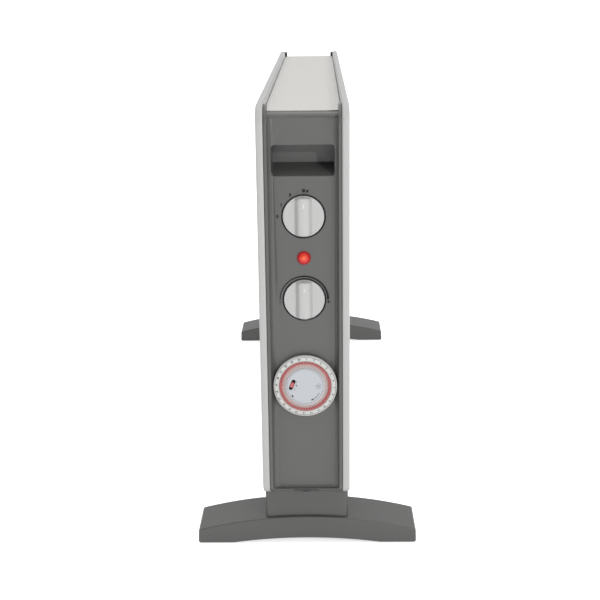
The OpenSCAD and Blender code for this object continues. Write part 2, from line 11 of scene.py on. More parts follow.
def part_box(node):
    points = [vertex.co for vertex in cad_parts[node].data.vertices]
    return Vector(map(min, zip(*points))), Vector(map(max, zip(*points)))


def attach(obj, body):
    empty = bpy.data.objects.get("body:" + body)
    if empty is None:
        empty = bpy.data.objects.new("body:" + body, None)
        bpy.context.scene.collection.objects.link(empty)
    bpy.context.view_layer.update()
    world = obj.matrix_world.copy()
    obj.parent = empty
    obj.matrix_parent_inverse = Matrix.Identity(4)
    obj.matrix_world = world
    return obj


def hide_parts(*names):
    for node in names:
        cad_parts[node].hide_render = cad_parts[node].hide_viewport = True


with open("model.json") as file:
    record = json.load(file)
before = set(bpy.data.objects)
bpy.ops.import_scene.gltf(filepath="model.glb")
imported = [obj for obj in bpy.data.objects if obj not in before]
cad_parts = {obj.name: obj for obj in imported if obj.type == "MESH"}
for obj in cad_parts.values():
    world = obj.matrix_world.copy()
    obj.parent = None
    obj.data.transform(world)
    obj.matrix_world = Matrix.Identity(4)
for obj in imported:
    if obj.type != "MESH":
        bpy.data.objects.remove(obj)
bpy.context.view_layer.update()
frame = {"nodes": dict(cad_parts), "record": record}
NODES = frame["nodes"]
MM = 0.001

# ---------------------------------------------------------------- measures from the frame

SKIN_LOW, SKIN_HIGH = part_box("right_panel_skin")
NEAR_Y, FAR_Y = SKIN_LOW.y, SKIN_HIGH.y
BOTTOM_Z, TOP_Z = SKIN_LOW.z, SKIN_HIGH.z
INNER_X, OUTER_X = SKIN_LOW.x, SKIN_HIGH.x
PANEL_CORNER = 20 * MM
FACE_Y = NEAR_Y + 10 * MM


def middle(node):
    """The centre of a CAD node's box."""
    low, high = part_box(node)
    return (low + high) / 2


SELECTOR_Z = middle("selector_knob").z
THERMOSTAT_Z = middle("thermostat_knob").z
LAMP_Z = middle("lamp_lens").z
TIMER_Z = middle("timer_dial").z
KNOB_R = (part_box("selector_knob")[1].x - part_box("selector_knob")[0].x) / 2
DIAL_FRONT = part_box("timer_dial")[0].y
FLOOR_RING_Y = DIAL_FRONT + 0.8 * MM
TAPPET_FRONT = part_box("timer_tappets")[0].y
DISC_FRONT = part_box("timer_face")[0].y


# ---------------------------------------------------------------- camera and light

# The photograph's camera, solved from the heater's edges; the angles are in degrees.
EYE = Vector((17 * MM, NEAR_Y - 1117.8 * MM, 611.9 * MM))
PITCH, YAW, ROLL = 16.02, -0.94, 0.67
SENSOR_WIDTH, FOCAL_LENGTH = 36, 67.8
SHIFT_X, SHIFT_Y = -0.0049, -0.0031

# The sky's brightness at its sides and top. Over the front it is dimmed to the share
# SKY_FRONT, and it is whole again for directions whose y is above FRONT_LIT_Y.
SKY_SIDE, SKY_TOP, SKY_FRONT = 0.35, 1.95, 0.0
FRONT_DARK_Y, FRONT_LIT_Y = -0.97, -0.3

# The horizon's brightness, which fades out between these two heights of a direction.
HORIZON, HORIZON_LOW_Z, HORIZON_HIGH_Z = 1.05, 0.1, 0.2

KEY_PLACE, KEY_TARGET = (1.13, NEAR_Y - 1.9, 1.21), (0, NEAR_Y, 0.43)
KEY_SIZE, KEY_WATTS = 0.10, 25
FLOOR_HALF, FLOOR_GLOW = 30, 0.6


def aim_camera():
    """The photograph's viewing angle: a long lens a little above and in front of the control end."""
    pitch, yaw, roll = (math.radians(angle) for angle in (PITCH, YAW, ROLL))
    forward = Vector((
        math.sin(yaw) * math.cos(pitch),
        math.cos(yaw) * math.cos(pitch),
        -math.sin(pitch),
    ))
    right = Vector((math.cos(yaw), -math.sin(yaw), 0))
    down = forward.cross(right)
    right_rolled = right * math.cos(roll) + down * math.sin(roll)
    down_rolled = down * math.cos(roll) - right * math.sin(roll)
    turn = Matrix((right_rolled, -down_rolled, -forward)).transposed()
    data = bpy.data.cameras.new("camera")
    data.sensor_width = SENSOR_WIDTH
    data.lens = FOCAL_LENGTH
    data.shift_x = SHIFT_X
    data.shift_y = SHIFT_Y
    camera = bpy.data.objects.new("camera", data)
    camera.matrix_world = Matrix.Translation(EYE) @ turn.to_4x4()
    bpy.context.scene.collection.objects.link(camera)
    bpy.context.scene.camera = camera


def area_light(name, place, target, size, watts):
    """A square white lamp that shines at a target."""
    data = bpy.data.lights.new(name, "AREA")
    data.shape = "RECTANGLE"
    data.size, data.size_y = size, size
    data.energy = watts
    lamp = bpy.data.objects.new(name, data)
    lamp.location = place
    lamp.rotation_euler = (Vector(target) - Vector(place)).to_track_quat("-Z", "Y").to_euler()
    bpy.context.scene.collection.objects.link(lamp)


def map_range(tree, source, low, high, start, end, smooth=False):
    """A socket that runs from start to end while the source runs from low to high."""
    node = tree.nodes.new("ShaderNodeMapRange")
    if smooth:
        node.interpolation_type = "SMOOTHSTEP"
    for name, value in (("From Min", low), ("From Max", high), ("To Min", start), ("To Max", end)):
        node.inputs[name].default_value = value
    tree.links.new(source, node.inputs["Value"])
    return node.outputs["Result"]


def combine(tree, operation, first, second):
    """A socket that holds the sum, product or other operation of two sockets."""
    node = tree.nodes.new("ShaderNodeMath")
    node.operation = operation
    tree.links.new(first, node.inputs[0])
    tree.links.new(second, node.inputs[1])
    return node.outputs["Value"]


def light_world(tree):
    """A white horizon under a sky that grows brighter to the top and is dark over the front."""
    background = tree.nodes["Background"]
    background.inputs["Color"].default_value = (1, 1, 1, 1)
    place = tree.nodes.new("ShaderNodeTexCoord")
    axes = tree.nodes.new("ShaderNodeSeparateXYZ")
    tree.links.new(place.outputs["Generated"], axes.inputs["Vector"])
    depth, height = axes.outputs["Y"], axes.outputs["Z"]
    above = map_range(tree, height, 0, 1, SKY_SIDE, SKY_TOP)
    front = map_range(tree, depth, FRONT_DARK_Y, FRONT_LIT_Y, SKY_FRONT, 1, smooth=True)
    horizon = map_range(tree, height, HORIZON_LOW_Z, HORIZON_HIGH_Z, HORIZON, 0)
    sky = combine(tree, "MULTIPLY", above, front)
    tree.links.new(combine(tree, "MAXIMUM", sky, horizon), background.inputs["Strength"])


def light_scene():
    """The studio: its world, one small key light from the upper right and a pale floor."""
    bpy.context.scene.view_settings.view_transform = "Standard"
    world = bpy.data.worlds.new("studio")
    world.use_nodes = True
    light_world(world.node_tree)
    bpy.context.scene.world = world
    area_light("key", KEY_PLACE, KEY_TARGET, KEY_SIZE, KEY_WATTS)
    mesh = bpy.data.meshes.new("floor")
    half = FLOOR_HALF
    mesh.from_pydata([(-half, -half, 0), (half, -half, 0), (half, half, 0), (-half, half, 0)],
                     [], [(0, 1, 2, 3)])
    floor = bpy.data.objects.new("floor", mesh)
    bpy.context.scene.collection.objects.link(floor)
    paper = surface("floor", (0.8, 0.8, 0.8), 0.8, grain=(40, 0.02))
    shader = paper.node_tree.nodes["Principled BSDF"]
    shader.inputs["Emission Color"].default_value = (1, 1, 1, 1)
    shader.inputs["Emission Strength"].default_value = FLOOR_GLOW
    mesh.materials.append(paper)


# ---------------------------------------------------------------- materials

ROUGH_SPREAD = 0.05
RELIEF_DEPTH = 0.4 * MM
BROAD_NOISE = 14
GLOW_CENTRE = (0, FACE_Y - 6 * MM, LAMP_Z + 1.2 * MM)
GLOW_REACH, GLOW_STRENGTH = 8 * MM, 0.55


def surface(name, colour, roughness, metallic=0.0, grain=(800, 0.05), mottle=0.03,
            coat=0.0, stretch=(1, 1, 1), specular=0.5):
    """A Principled material whose colour, roughness and relief vary by noise in the row frame.

    grain is the noise scale per metre and the strength of the relief; stretch draws the
    noise out along an axis, for brushed and rolled metal.
    """
    material = bpy.data.materials.new(name)
    material.use_nodes = True
    nodes, links = material.node_tree.nodes, material.node_tree.links
    shader = nodes["Principled BSDF"]
    shader.inputs["Metallic"].default_value = metallic
    shader.inputs["Coat Weight"].default_value = coat
    shader.inputs["Specular IOR Level"].default_value = specular
    place = nodes.new("ShaderNodeTexCoord")
    mapping = nodes.new("ShaderNodeMapping")
    mapping.inputs["Scale"].default_value = stretch
    links.new(place.outputs["Object"], mapping.inputs["Vector"])

    broad = nodes.new("ShaderNodeTexNoise")
    broad.inputs["Scale"].default_value = BROAD_NOISE
    broad.inputs["Detail"].default_value = 4
    links.new(mapping.outputs["Vector"], broad.inputs["Vector"])
    tint = nodes.new("ShaderNodeMix")
    tint.data_type = "RGBA"
    tint.inputs["A"].default_value = [c * (1 - mottle) for c in colour] + [1]
    tint.inputs["B"].default_value = [min(1, c * (1 + mottle)) for c in colour] + [1]
    links.new(broad.outputs["Fac"], tint.inputs["Factor"])
    links.new(tint.outputs["Result"], shader.inputs["Base Color"])

    fine = nodes.new("ShaderNodeTexNoise")
    fine.inputs["Scale"].default_value = grain[0]
    fine.inputs["Detail"].default_value = 3
    links.new(mapping.outputs["Vector"], fine.inputs["Vector"])
    rough = map_range(material.node_tree, fine.outputs["Fac"], 0, 1,
                      max(0.02, roughness - ROUGH_SPREAD), min(1, roughness + ROUGH_SPREAD))
    links.new(rough, shader.inputs["Roughness"])

    relief = nodes.new("ShaderNodeBump")
    relief.inputs["Strength"].default_value = grain[1]
    relief.inputs["Distance"].default_value = RELIEF_DEPTH
    links.new(fine.outputs["Fac"], relief.inputs["Height"])
    links.new(relief.outputs["Normal"], shader.inputs["Normal"])
    return material


def lamp_material():
    """Red clear plastic that glows orange round a point just in front of its dome."""
    material = surface("lamp_red", (0.26, 0.002, 0.002), 0.16, grain=(900, 0.2), coat=0.2,
                       specular=0.3)
    nodes, links = material.node_tree.nodes, material.node_tree.links
    shader = nodes["Principled BSDF"]
    place = nodes.new("ShaderNodeTexCoord")
    shift = nodes.new("ShaderNodeVectorMath")
    shift.operation = "SUBTRACT"
    shift.inputs[1].default_value = GLOW_CENTRE
    links.new(place.outputs["Object"], shift.inputs[0])
    length = nodes.new("ShaderNodeVectorMath")
    length.operation = "LENGTH"
    links.new(shift.outputs["Vector"], length.inputs[0])
    ramp = nodes.new("ShaderNodeValToRGB")
    reach = nodes.new("ShaderNodeMath")
    reach.operation = "DIVIDE"
    reach.inputs[1].default_value = GLOW_REACH
    links.new(length.outputs["Value"], reach.inputs[0])
    links.new(reach.outputs["Value"], ramp.inputs["Fac"])
    stops = ((0.0, (1.0, 0.5, 0.25, 1)), (0.26, (1.0, 0.16, 0.06, 1)),
             (0.55, (0.45, 0.012, 0.006, 1)), (1.0, (0.05, 0.0, 0.0, 1)))
    ramp.color_ramp.elements[0].position, ramp.color_ramp.elements[0].color = stops[0]
    ramp.color_ramp.elements[1].position, ramp.color_ramp.elements[1].color = stops[-1]
    for position, colour in stops[1:-1]:
        ramp.color_ramp.elements.new(position).color = colour
    links.new(ramp.outputs["Color"], shader.inputs["Emission Color"])
    shader.inputs["Emission Strength"].default_value = GLOW_STRENGTH
    return material


def build_materials():
    """Every material by its slot name, with three inks outside the slots: grey and black for printed
    marks, the black also for the painted shade in the timer's slot, and a paler grey for the painted
    highlight on the knobs' pointers.
    """
    brushed = (1, 0.06, 1)
    return {
        "panel_paint": surface("panel_paint", (0.335, 0.335, 0.331), 0.42, grain=(1500, 0.12),
                               mottle=0.012),
        "cover_paint": surface("cover_paint", (0.44, 0.43, 0.41), 0.4, grain=(1500, 0.10),
                               mottle=0.012),
        "zinc_steel": surface("zinc_steel", (0.62, 0.63, 0.64), 0.38, 0.9, (300, 0.1), 0.1),
        "header_steel": surface("header_steel", (0.20, 0.21, 0.22), 0.45, 0.8, (400, 0.1), 0.1),
        "sheath_steel": surface("sheath_steel", (0.45, 0.44, 0.42), 0.4, 0.9, (500, 0.1), 0.1),
        "brass": surface("brass", (0.72, 0.52, 0.22), 0.3, 1.0, (600, 0.06), 0.08),
        "gasket": surface("gasket", (0.04, 0.09, 0.05), 0.8, grain=(900, 0.3)),
        "cap_plastic": surface("cap_plastic", (0.070, 0.070, 0.068), 0.38, grain=(2200, 0.16),
                               mottle=0.04),
        "foot_plastic": surface("foot_plastic", (0.058, 0.058, 0.056), 0.38,
                                grain=(2200, 0.2), mottle=0.04),
        "shield_aluminium": surface("shield_aluminium", (0.8, 0.8, 0.8), 0.3, 1.0, (500, 0.08),
                                    stretch=brushed),
        "inner_plastic": surface("inner_plastic", (0.70, 0.66, 0.55), 0.5, grain=(900, 0.1)),
        "knob_plastic": surface("knob_plastic", (0.355, 0.355, 0.351), 0.34, grain=(1800, 0.06),
                                mottle=0.015, coat=0.1),
        "spring_steel": surface("spring_steel", (0.5, 0.52, 0.55), 0.3, 1.0, (600, 0.05)),
        "fastener_steel": surface("fastener_steel", (0.6, 0.6, 0.6), 0.32, 1.0, (700, 0.06)),
        "lamp_red": lamp_material(),
        "neon_glass": surface("neon_glass", (0.95, 0.5, 0.25), 0.1, grain=(200, 0.02)),
        "timer_black": surface("timer_black", (0.03, 0.03, 0.03), 0.45, grain=(1500, 0.12)),
        "timer_white": surface("timer_white", (0.42, 0.42, 0.406), 0.36, grain=(1500, 0.05),
                               mottle=0.015),
        "timer_red": surface("timer_red", (0.36, 0.07, 0.07), 0.42, grain=(1500, 0.08)),
        "timer_blue_grey": surface("timer_blue_grey", (0.35, 0.363, 0.385), 0.3,
                                   grain=(1500, 0.04), mottle=0.015),
        "wire_sheath": surface("wire_sheath", (0.25, 0.13, 0.07), 0.6, grain=(1200, 0.4)),
        "rubber": surface("rubber", (0.03, 0.03, 0.03), 0.8, grain=(1500, 0.4)),
        # Black ink for printed marks; the same ink is the painted shade on the timer slot's floor.
        "print_and_slot_shade_black": surface("print_and_slot_shade_black", (0.008, 0.008, 0.008), 0.6, grain=(3000, 0.1),
                               specular=0.1),
        "print_grey": surface("print_grey", (0.03, 0.032, 0.035), 0.6, grain=(3000, 0.1),
                              specular=0.1),
        # Paler grey for the knobs' pointer lines: a painted highlight on the raised line.
        "pointer_highlight_grey": surface("pointer_highlight_grey", (0.52, 0.52, 0.52), 0.5, grain=(3000, 0.1)),
    }


# ---------------------------------------------------------------- mesh helpers

def piece(name, verts, faces, material, body, slot, sharp=35, replaces=()):
    """A mesh object that rides on a body, smooth-shaded except over sharp edges."""
    mesh = bpy.data.meshes.new(name)
    mesh.from_pydata([tuple(v) for v in verts], [], faces)
    mesh.validate()
    work = bmesh.new()
    work.from_mesh(mesh)
    bmesh.ops.recalc_face_normals(work, faces=work.faces)
    work.to_mesh(mesh)
    work.free()
    mesh.polygons.foreach_set("use_smooth", [True] * len(mesh.polygons))
    mesh.set_sharp_from_angle(angle=math.radians(sharp))
    mesh.materials.append(material)
    obj = bpy.data.objects.new(name, mesh)
    bpy.context.scene.collection.objects.link(obj)
    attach(obj, body)
    if replaces:
        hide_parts(*replaces)
    return obj


def bridge(first, second, count):
    """Quads between two closed rings of vertices that start at the given indices."""
    return [(first + i, first + (i + 1) % count, second + (i + 1) % count, second + i)
            for i in range(count)]


def lathe(profile, centre, turns):
    """Vertices and faces of a profile of (radius, y) turned round an axis along y."""
    verts, faces = [], []
    for radius, y in profile:
        for i in range(turns):
            angle = 2 * math.pi * i / turns
            verts.append((centre[0] + radius * math.cos(angle), y,
                          centre[1] + radius * math.sin(angle)))
    for k in range(len(profile) - 1):
        faces += bridge(k * turns, (k + 1) * turns, turns)
    return verts, faces


def slab(outline, front, back):
    """A flat plate in the XZ plane from an outline of (x, z)."""
    count = len(outline)
    verts = [(x, front, z) for x, z in outline] + [(x, back, z) for x, z in outline]
    faces = [tuple(range(count)), tuple(reversed(range(count, 2 * count)))]
    faces += bridge(0, count, count)
    return verts, faces


def merge(shapes):
    """Several (verts, faces) shapes as one."""
    verts, faces = [], []
    for some_verts, some_faces in shapes:
        base = len(verts)
        verts += some_verts
        faces += [tuple(base + i for i in face) for face in some_faces]
    return verts, faces


def polar(centre, radius, degrees):
    """A point at a radius and an angle counted clockwise from the top, as the dial is read."""
    angle = math.radians(degrees)
    return centre[0] + radius * math.sin(angle), centre[1] + radius * math.cos(angle)


def arc_band(centre, start, end, inner, outer, front, back, steps=40):
    """A flat curved band; inner and outer give the radius at a share 0..1 of the way round."""
    rim, hub = [], []
    for i in range(steps + 1):
        share = i / steps
        angle = start + (end - start) * share
        rim.append(polar(centre, outer(share), angle))
        hub.append(polar(centre, inner(share), angle))
    count = steps + 1
    points = rim + hub
    verts = [(x, front, z) for x, z in points] + [(x, back, z) for x, z in points]
    double = 2 * count
    faces = []
    for i in range(steps):
        faces.append((i, i + 1, count + i + 1, count + i))
        faces.append((double + i, double + count + i, double + count + i + 1, double + i + 1))
        faces.append((i, double + i, double + i + 1, i + 1))
        faces.append((count + i, count + i + 1, double + count + i + 1, double + count + i))
    faces.append((0, count, double + count, double))
    faces.append((steps, double + steps, double + count + steps, count + steps))
    return verts, faces


def lettering(text, place, size, turn, front, depth, weight):
    """Verts and faces of a short printed mark, centred at a point of the XZ plane.

    weight is how far each stroke's outline is moved outwards.
    """
    curve = bpy.data.curves.new("print", "FONT")
    curve.body = text
    curve.size = size
    curve.offset = weight
    curve.align_x, curve.align_y = "CENTER", "CENTER"
    curve.extrude = depth / 2
    curve.resolution_u = 3
    holder = bpy.data.objects.new("print", curve)
    bpy.context.scene.collection.objects.link(holder)
    mesh = bpy.data.meshes.new_from_object(holder.evaluated_get(
        bpy.context.evaluated_depsgraph_get()))
    bpy.data.objects.remove(holder)
    cosine, sine = math.cos(math.radians(turn)), math.sin(math.radians(turn))
    verts = []
    for vertex in mesh.vertices:
        x, z, out = vertex.co
        verts.append((place[0] + x * cosine + z * sine, front + depth / 2 - out,
                      place[1] - x * sine + z * cosine))
    faces = [tuple(face.vertices) for face in mesh.polygons]
    bpy.data.meshes.remove(mesh)
    return verts, faces


# ---------------------------------------------------------------- side panels

CHANNELS = 22
CHANNEL_PITCH = 33 * MM
CHANNEL_DEPTH = 3 * MM
CHANNEL_REACH = 10.5 * MM
CHANNEL_BORDER = 40 * MM
CHANNEL_FULLNESS = 0.85
FOLD_R = 2.8 * MM
FLAT_INSETS = 7 * MM, 13 * MM
SHEET = 0.8 * MM
HALF_ACROSS = [t * MM for t in (-10.5, -9, -7.4, -5.8, -4, -2, 0)]
ACROSS = HALF_ACROSS + [-t for t in reversed(HALF_ACROSS[:-1])]


def pressed_depth(y, z, channel_ys, low, high):
    """How far the pressed face dips at a point: smooth channels with round ends."""
    nearest = min(channel_ys, key=lambda c: abs(c - y))
    beyond = max(low - z, z - high, 0)
    distance = math.hypot(nearest - y, beyond)
    if distance >= CHANNEL_REACH:
        return 0
    wave = 0.5 + 0.5 * math.cos(math.pi * distance / CHANNEL_REACH)
    return CHANNEL_DEPTH * wave ** CHANNEL_FULLNESS


def panel_skin(side, name, material):
    """The pressed outer sheet: a rolled rim, four round corners and a face of soft channels."""
    low, high = BOTTOM_Z + CHANNEL_BORDER, TOP_Z - CHANNEL_BORDER
    first = (NEAR_Y + FAR_Y) / 2 - CHANNEL_PITCH * (CHANNELS - 1) / 2
    channel_ys = [first + i * CHANNEL_PITCH for i in range(CHANNELS)]
    ys = [NEAR_Y + PANEL_CORNER]
    for centre in channel_ys:
        ys += [centre + t for t in ACROSS]
    ys = [y for y in ys if NEAR_Y + PANEL_CORNER <= y <= FAR_Y - PANEL_CORNER]
    ys = sorted(set(round(y, 6) for y in ys + [FAR_Y - PANEL_CORNER]))
    zs = [BOTTOM_Z + PANEL_CORNER] + [low + t for t in HALF_ACROSS]
    straight = 9
    zs += [low + (high - low) * i / straight for i in range(1, straight)]
    zs += [high - t for t in reversed(HALF_ACROSS)] + [TOP_Z - PANEL_CORNER]
    zs = sorted(set(round(z, 6) for z in zs))

    corner_steps = 12
    rows, columns = len(zs), len(ys)

    def ring(inset, x):
        """Outline points at an inset, counted round from the lower near corner."""
        radius = PANEL_CORNER - inset
        centres = ((ys[-1], zs[0], 270), (ys[-1], zs[-1], 0), (ys[0], zs[-1], 90),
                   (ys[0], zs[0], 180))
        runs = ([(y, zs[0] - radius) for y in ys], [(ys[-1] + radius, z) for z in zs],
                [(y, zs[-1] + radius) for y in reversed(ys)],
                [(ys[0] - radius, z) for z in reversed(zs)])
        points = []
        for run, (cy, cz, start) in zip(runs, centres):
            points += run
            for k in range(1, corner_steps):
                angle = math.radians(start + 90 * k / corner_steps)
                points.append((cy + radius * math.cos(angle), cz + radius * math.sin(angle)))
        return [(side * x, y, z) for y, z in points]

    arc_steps = 6
    rings = [(0, INNER_X), (0, (INNER_X + OUTER_X - FOLD_R) / 2)]
    for k in range(arc_steps + 1):
        angle = math.pi / 2 * k / arc_steps
        rings.append((FOLD_R * (1 - math.cos(angle)), OUTER_X - FOLD_R * (1 - math.sin(angle))))
    rings += [(inset, OUTER_X) for inset in FLAT_INSETS]
    verts = []
    for inset, x in rings:
        verts += ring(inset, x)
    count = len(verts) // len(rings)
    faces = []
    for k in range(len(rings) - 1):
        faces += bridge(k * count, (k + 1) * count, count)

    grid = len(verts)
    for z in zs:
        for y in ys:
            dip = pressed_depth(y, z, channel_ys, low, high)
            verts.append((side * (OUTER_X - dip), y, z))
    for j in range(rows - 1):
        for i in range(columns - 1):
            a = grid + j * columns + i
            faces.append((a, a + 1, a + columns + 1, a + columns))

    def rim_index(k):
        """The grid vertex that faces the k-th point of the outline."""
        runs = (columns, corner_steps - 1, rows, corner_steps - 1,
                columns, corner_steps - 1, rows, corner_steps - 1)
        spots = (
            lambda i: (i, 0), lambda i: (columns - 1, 0),
            lambda i: (columns - 1, i), lambda i: (columns - 1, rows - 1),
            lambda i: (columns - 1 - i, rows - 1), lambda i: (0, rows - 1),
            lambda i: (0, rows - 1 - i), lambda i: (0, 0),
        )
        for run, spot in zip(runs, spots):
            if k < run:
                i, j = spot(k)
                return grid + j * columns + i
            k -= run
        raise ValueError("outline index past its end")

    last = (len(rings) - 1) * count
    for k in range(count):
        a, b = last + k, last + (k + 1) % count
        c, d = rim_index((k + 1) % count), rim_index(k)
        faces.append((a, b, c) if c == d else (a, b, c, d))
    obj = piece(name, verts, faces, material, "heater", "panel_paint", 50, [name + "_skin"])
    wall = obj.modifiers.new("sheet", "SOLIDIFY")
    wall.thickness = SHEET
    wall.offset = -1
    wall.use_even_offset = False


# ---------------------------------------------------------------- feet

FOOT_LOW, FOOT_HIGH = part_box("near_foot")
FOOT_HALF = FOOT_HIGH.x
FOOT_START, FOOT_END = FOOT_LOW.y - NEAR_Y, FOOT_HIGH.y - NEAR_Y
FOOT_CROWN, FOOT_TIP, FOOT_SOLE = 33 * MM, 17.5 * MM, 1 * MM
FOOT_EDGE = 1.5 * MM
FOOT_LEAN = 0.6 * MM
FOOT_SOLE_R, FOOT_TIP_R = 2.4 * MM, 3 * MM
FOOT_TOP_START = 7 * MM
ARCH_END, ARCH_RISE = 40 * MM, 5.8 * MM
ARC_POINTS = 24
NECK_X, NECK_INSET, NECK_R, NECK_LOW_Z = OUTER_X - 1.4 * MM, 3.5 * MM, 4 * MM, 14 * MM
PLUG_R = 2 * MM
SCREW_X, PAD_X = 25 * MM, FOOT_HALF - 24 * MM
BORE_LOW_Z, BORE_SIDES = -5 * MM, 48

# Distance from the middle, radius and top of the bores for screw heads, screws and pads.
FOOT_BORES = ((SCREW_X, 6 * MM, 58 * MM), (SCREW_X, 2.75 * MM, 80 * MM),
              (PAD_X, 13.01 * MM, 3 * MM))


def filleted(corners, steps=6):
    """A closed outline of (a, b, radius) corners with every corner rounded to its radius."""
    points = []
    for k, (a, b, radius) in enumerate(corners):
        here = Vector((a, b))
        if not radius:
            points.append(here)
            continue
        before = (Vector(corners[k - 1][:2]) - here).normalized()
        after = (Vector(corners[(k + 1) % len(corners)][:2]) - here).normalized()
        half = before.angle(after) / 2
        centre = here + (before + after).normalized() * radius / math.sin(half)
        start = here + before * radius / math.tan(half) - centre
        end = here + after * radius / math.tan(half) - centre
        for i in range(steps + 1):
            share = i / steps
            points.append(centre + (start * (1 - share) + end * share).normalized() * radius)
    return points


def inset_loop(points, distance):
    """The counter-clockwise outline moved inwards by a distance."""
    moved = []
    for k, point in enumerate(points):
        first = (point - points[k - 1]).normalized()
        second = (points[(k + 1) % len(points)] - point).normalized()
        normals = Vector((-first.y, first.x)), Vector((-second.y, second.x))
        middle_way = (normals[0] + normals[1]).normalized()
        moved.append(point + middle_way * distance / max(0.5, middle_way.dot(normals[0])))
    return moved


def stack(loops, place):
    """A closed shape through loops of (a, b) points; place turns (a, b, level) into a vertex."""
    verts, faces = [], []
    count = len(loops[0][0])
    for points, level in loops:
        verts += [place(a, b, level) for a, b in points]
    for k in range(len(loops) - 1):
        faces += bridge(k * count, (k + 1) * count, count)
    faces.append(tuple(range(count)))
    faces.append(tuple(range((len(loops) - 1) * count, len(loops) * count)))
    return verts, faces


def solid(name, shape):
    """A temporary object whose normals point outwards."""
    mesh = bpy.data.meshes.new(name)
    mesh.from_pydata([tuple(v) for v in shape[0]], [], shape[1])
    work = bmesh.new()
    work.from_mesh(mesh)
    bmesh.ops.recalc_face_normals(work, faces=work.faces)
    work.to_mesh(mesh)
    work.free()
    obj = bpy.data.objects.new(name, mesh)
    bpy.context.scene.collection.objects.link(obj)
    return obj


def carve(base, steps):
    """The base shape after a list of (operation, shape) booleans."""
    target = solid("base", base)
    tools = []
    for operation, shape in steps:
        tool = solid("tool", shape)
        tools.append(tool)
        change = target.modifiers.new("change", "BOOLEAN")
        change.operation = operation
        change.solver = "EXACT"
        change.object = tool
    mesh = bpy.data.meshes.new_from_object(
        target.evaluated_get(bpy.context.evaluated_depsgraph_get()))
    verts = [tuple(v.co) for v in mesh.vertices]
    faces = [tuple(face.vertices) for face in mesh.polygons]
    bpy.data.meshes.remove(mesh)
    for obj in [target] + tools:
        data = obj.data
        bpy.data.objects.remove(obj)
        bpy.data.meshes.remove(data)
    return verts, faces


def rounded_box(half, front, back, radius):
    """A rectangle of (x, depth) about the middle, with round corners."""
    return filleted([(-half, front, radius), (half, front, radius),
                     (half, back, radius), (-half, back, radius)])


def foot_outline():
    """Front outline of a foot, counter-clockwise: arched top, arched underside, round corners."""
    tip_x = FOOT_HALF - FOOT_LEAN
    rise = FOOT_CROWN - FOOT_TIP
    top_r = (tip_x ** 2 + rise ** 2) / (2 * rise)
    arch_half = FOOT_HALF - ARCH_END
    arch_r = (arch_half ** 2 + ARCH_RISE ** 2) / (2 * ARCH_RISE)
    corners = [(-FOOT_HALF, FOOT_SOLE, FOOT_SOLE_R)]
    for i in range(ARC_POINTS + 1):
        x = arch_half * (2 * i / ARC_POINTS - 1)
        z = FOOT_SOLE + ARCH_RISE - arch_r + math.sqrt(arch_r ** 2 - x * x)
        corners.append((x, z, 0))
    corners += [(FOOT_HALF, FOOT_SOLE, FOOT_SOLE_R), (tip_x, FOOT_TIP, FOOT_TIP_R)]
    for i in range(ARC_POINTS + 1):
        x = (tip_x - FOOT_TOP_START) * (1 - 2 * i / ARC_POINTS)
        corners.append((x, FOOT_CROWN - top_r + math.sqrt(top_r ** 2 - x * x), 0))
    corners.append((-tip_x, FOOT_TIP, FOOT_TIP_R))
    return filleted(corners)


def foot(name, depth_to_y, material):
    """An arched bar with soft edges, the neck that rises to the body, and the screws' and pads' bores.

    depth_to_y turns a depth from the body's end into a y.
    """
    outline = foot_outline()
    edge, steps = FOOT_EDGE, 5
    front = [(edge + 0.3 * MM, 0)]
    for k in range(steps + 1):
        angle = math.pi / 2 * k / steps
        front.append((edge * (1 - math.sin(angle)), edge * (1 - math.cos(angle))))
    front.append((0, edge + 0.3 * MM))
    levels = [(inset, FOOT_START + depth) for inset, depth in front]
    levels += [(inset, FOOT_END - depth) for inset, depth in reversed(front)]
    bar = stack([(inset_loop(outline, inset), depth) for inset, depth in levels],
                lambda x, z, depth: (x, depth_to_y(depth), z))
    neck_front, neck_back = FOOT_START + NECK_INSET, FOOT_END - NECK_INSET
    neck = rounded_box(NECK_X, neck_front, neck_back, NECK_R)
    plug = rounded_box(NECK_X - 9 * MM, neck_front + 3.5 * MM, neck_back - MM, PLUG_R)
    pan_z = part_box("bottom_pan")[0].z
    neck_shape = stack([(neck, NECK_LOW_Z), (neck, BOTTOM_Z), (plug, BOTTOM_Z), (plug, pan_z)],
                       lambda x, depth, z: (x, depth_to_y(depth), z))
    steps = [("UNION", neck_shape)]
    middle_depth = (FOOT_START + FOOT_END) / 2
    for side in (-1, 1):
        for x, radius, top in FOOT_BORES:
            angles = [2 * math.pi * i / BORE_SIDES for i in range(BORE_SIDES)]
            ring = [(side * x + radius * math.cos(angle), middle_depth + radius * math.sin(angle))
                    for angle in angles]
            steps.append(("DIFFERENCE", stack(
                [(ring, BORE_LOW_Z), (ring, top)],
                lambda a, depth, z: (a, depth_to_y(depth), z))))
    piece(name + "_moulding", *carve(bar, steps), material, "heater", "foot_plastic", 35, [name])


# ---------------------------------------------------------------- knobs

SKIRT_Y = FACE_Y - 1.4 * MM
SKIRT_DEPTH = 6.6 * MM
SKIRT_WALL = 1.8 * MM
BACK_EDGE = 0.25 * MM
RIM_ROUND = 0.8 * MM
SPINDLE_TUBE_R, SPINDLE_BORE_R, SPINDLE_BORE_END = 5.4 * MM, 3.05 * MM, 3.8 * MM
SIDE_COLUMNS = 36, 43, 50, 57, 64, 71, 78, 84

# Distance from the knob's middle line and height over the skirt's face, both in millimetres.
BAR_RELIEF = ((0, 6.0), (1.2, 5.97), (2.4, 5.85), (3.6, 5.5), (4.6, 5.05), (5.5, 4.4),
              (6.3, 3.6), (7.1, 2.6), (7.8, 1.6), (8.4, 0.8), (8.9, 0.35), (9.6, 0.1), (10.5, 0.0))
BAR_SLOPE = 1.5 * MM


